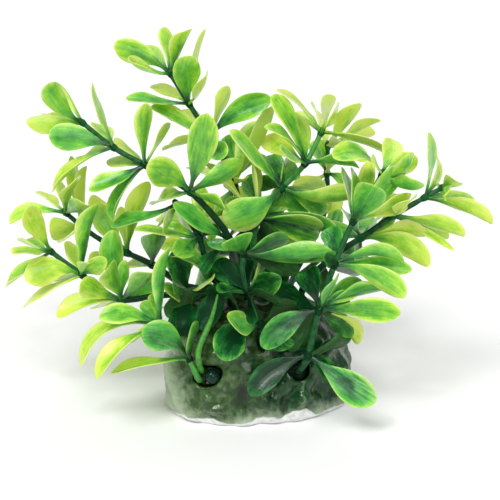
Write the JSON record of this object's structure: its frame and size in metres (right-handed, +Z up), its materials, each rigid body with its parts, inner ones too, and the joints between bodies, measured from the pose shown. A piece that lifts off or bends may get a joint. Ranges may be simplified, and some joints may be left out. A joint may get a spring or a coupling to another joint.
{
  "type": "artificial aquarium plant on a rock",
  "caption": "Moulded bushy bacopa plant: arching stems with whorls of spoon-shaped leaves, standing in holes in a painted rock base.",
  "frame": {"origin": "centre of the rock's flat underside", "axes": "+Z up, the viewer of the picture at -Y, +X to the viewer's right"},
  "size_m": [0.1426, 0.0847, 0.1112],
  "materials": {
    "rock": "painted resin, glossy, mottled",
    "knob": "glossy",
    "stem": "satin moulded plastic",
    "leaf": "satin moulded plastic"
  },
  "bodies": {
    "root": {"knob": "knob", "rock": "rock", "stem_arch": "stem", "stem_back_left": "stem", "stem_back_right": "stem", "stem_centre": "stem", "stem_far": "stem", "stem_front": "stem", "stem_hole": "stem", "stem_left": "stem", "stem_low": "stem", "stem_right": "stem", "stem_short": "stem", "stem_slim": "stem", "stem_tall": "stem", "stem_thin": "stem", "whorl_arch_1": "leaf", "whorl_arch_2": "leaf", "whorl_arch_3": "leaf", "whorl_arch_4": "leaf", "whorl_arch_5": "leaf", "whorl_back_left_1": "leaf", "whorl_back_left_2": "leaf", "whorl_back_right_1": "leaf", "whorl_back_right_2": "leaf", "whorl_centre_1": "leaf", "whorl_centre_2": "leaf", "whorl_centre_3": "leaf", "whorl_centre_4": "leaf", "whorl_far_1": "leaf", "whorl_far_2": "leaf", "whorl_far_3": "leaf", "whorl_far_4": "leaf", "whorl_front_1": "leaf", "whorl_front_2": "leaf", "whorl_front_3": "leaf", "whorl_hole_1": "leaf", "whorl_hole_2": "leaf", "whorl_left_1": "leaf", "whorl_left_2": "leaf", "whorl_left_3": "leaf", "whorl_left_4": "leaf", "whorl_low_1": "leaf", "whorl_low_2": "leaf", "whorl_low_3": "leaf", "whorl_low_4": "leaf", "whorl_right_1": "leaf", "whorl_right_2": "leaf", "whorl_right_3": "leaf", "whorl_right_4": "leaf", "whorl_right_5": "leaf", "whorl_short_1": "leaf", "whorl_short_2": "leaf", "whorl_slim_1": "leaf", "whorl_tall_1": "leaf", "whorl_tall_2": "leaf", "whorl_tall_3": "leaf", "whorl_tall_4": "leaf", "whorl_thin_1": "leaf", "whorl_thin_2": "leaf"}
  },
  "joints": []
}
